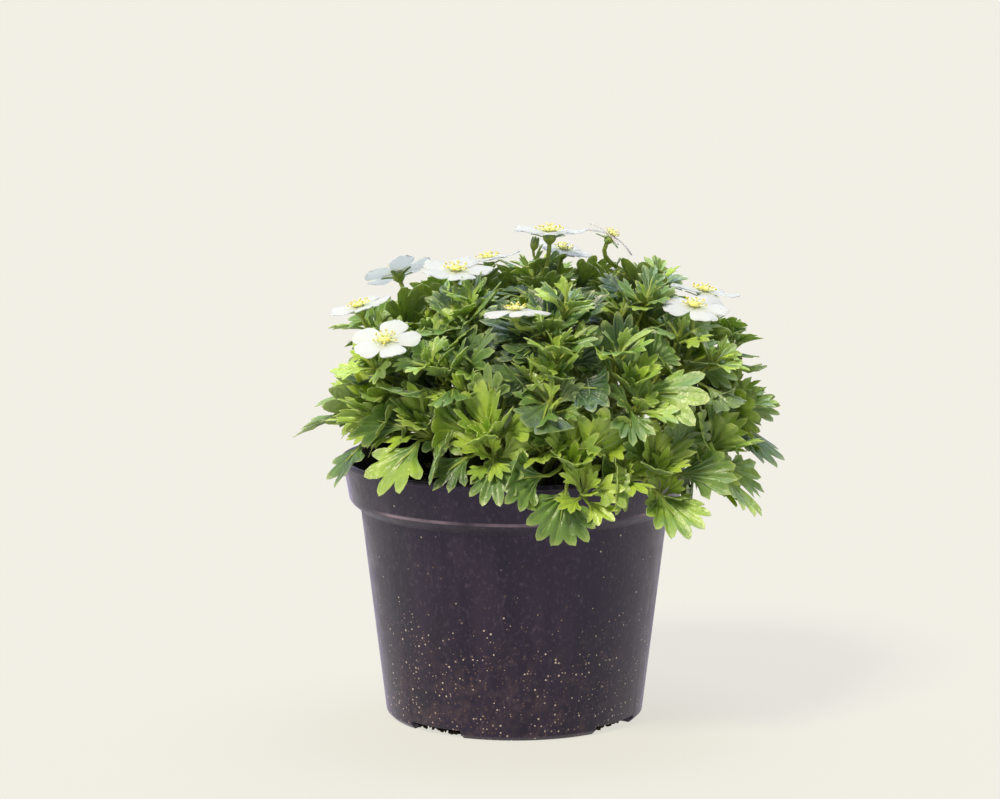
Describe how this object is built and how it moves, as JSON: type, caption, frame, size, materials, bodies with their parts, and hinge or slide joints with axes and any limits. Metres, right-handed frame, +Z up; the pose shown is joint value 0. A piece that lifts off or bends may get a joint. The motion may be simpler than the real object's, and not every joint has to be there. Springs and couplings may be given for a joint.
{
  "type": "potted mossy saxifrage",
  "caption": "Mossy saxifrage in a round plastic nursery pot: a cushion of leafy shoots with lobed leaves that hangs over the rim, and white flowers on short stalks.",
  "frame": {"origin": "centre of the pot's underside, on the surface it stands on", "axes": "+Z up along the pot's axis, -Y towards the pot's front, +X to the right seen from the front"},
  "size_m": [0.1668, 0.1586, 0.1729],
  "materials": {
    "pot": "satin",
    "compost": "matte",
    "foliage": "satin",
    "petals": "matte",
    "stamens": "matte"
  },
  "bodies": {
    "root": {"pot": "pot", "compost": "compost", "leafy_shoot_01": "foliage", "leafy_shoot_02": "foliage", "leafy_shoot_03": "foliage", "leafy_shoot_04": "foliage", "leafy_shoot_05": "foliage", "leafy_shoot_06": "foliage", "leafy_shoot_07": "foliage", "leafy_shoot_08": "foliage", "leafy_shoot_09": "foliage", "leafy_shoot_10": "foliage", "leafy_shoot_11": "foliage", "leafy_shoot_12": "foliage", "leafy_shoot_13": "foliage", "leafy_shoot_14": "foliage", "leafy_shoot_15": "foliage", "leafy_shoot_16": "foliage", "leafy_shoot_17": "foliage", "leafy_shoot_18": "foliage", "leafy_shoot_19": "foliage", "leafy_shoot_20": "foliage", "leafy_shoot_21": "foliage", "leafy_shoot_22": "foliage", "leafy_shoot_23": "foliage", "leafy_shoot_24": "foliage", "leafy_shoot_25": "foliage", "leafy_shoot_26": "foliage", "leafy_shoot_27": "foliage", "leafy_shoot_28": "foliage", "leafy_shoot_29": "foliage", "leafy_shoot_30": "foliage", "leafy_shoot_31": "foliage", "leafy_shoot_32": "foliage", "petals_01": "petals", "petals_02": "petals", "petals_03": "petals", "petals_04": "petals", "petals_05": "petals", "petals_06": "petals", "petals_07": "petals", "petals_08": "petals", "petals_09": "petals", "petals_10": "petals", "petals_11": "petals", "petals_12": "petals", "petals_13": "petals", "stamens_01": "stamens", "stamens_02": "stamens", "stamens_03": "stamens", "stamens_04": "stamens", "stamens_05": "stamens", "stamens_06": "stamens", "stamens_07": "stamens", "stamens_08": "stamens", "stamens_09": "stamens", "stamens_10": "stamens", "stamens_11": "stamens", "stamens_12": "stamens", "stamens_13": "stamens"}
  },
  "joints": []
}
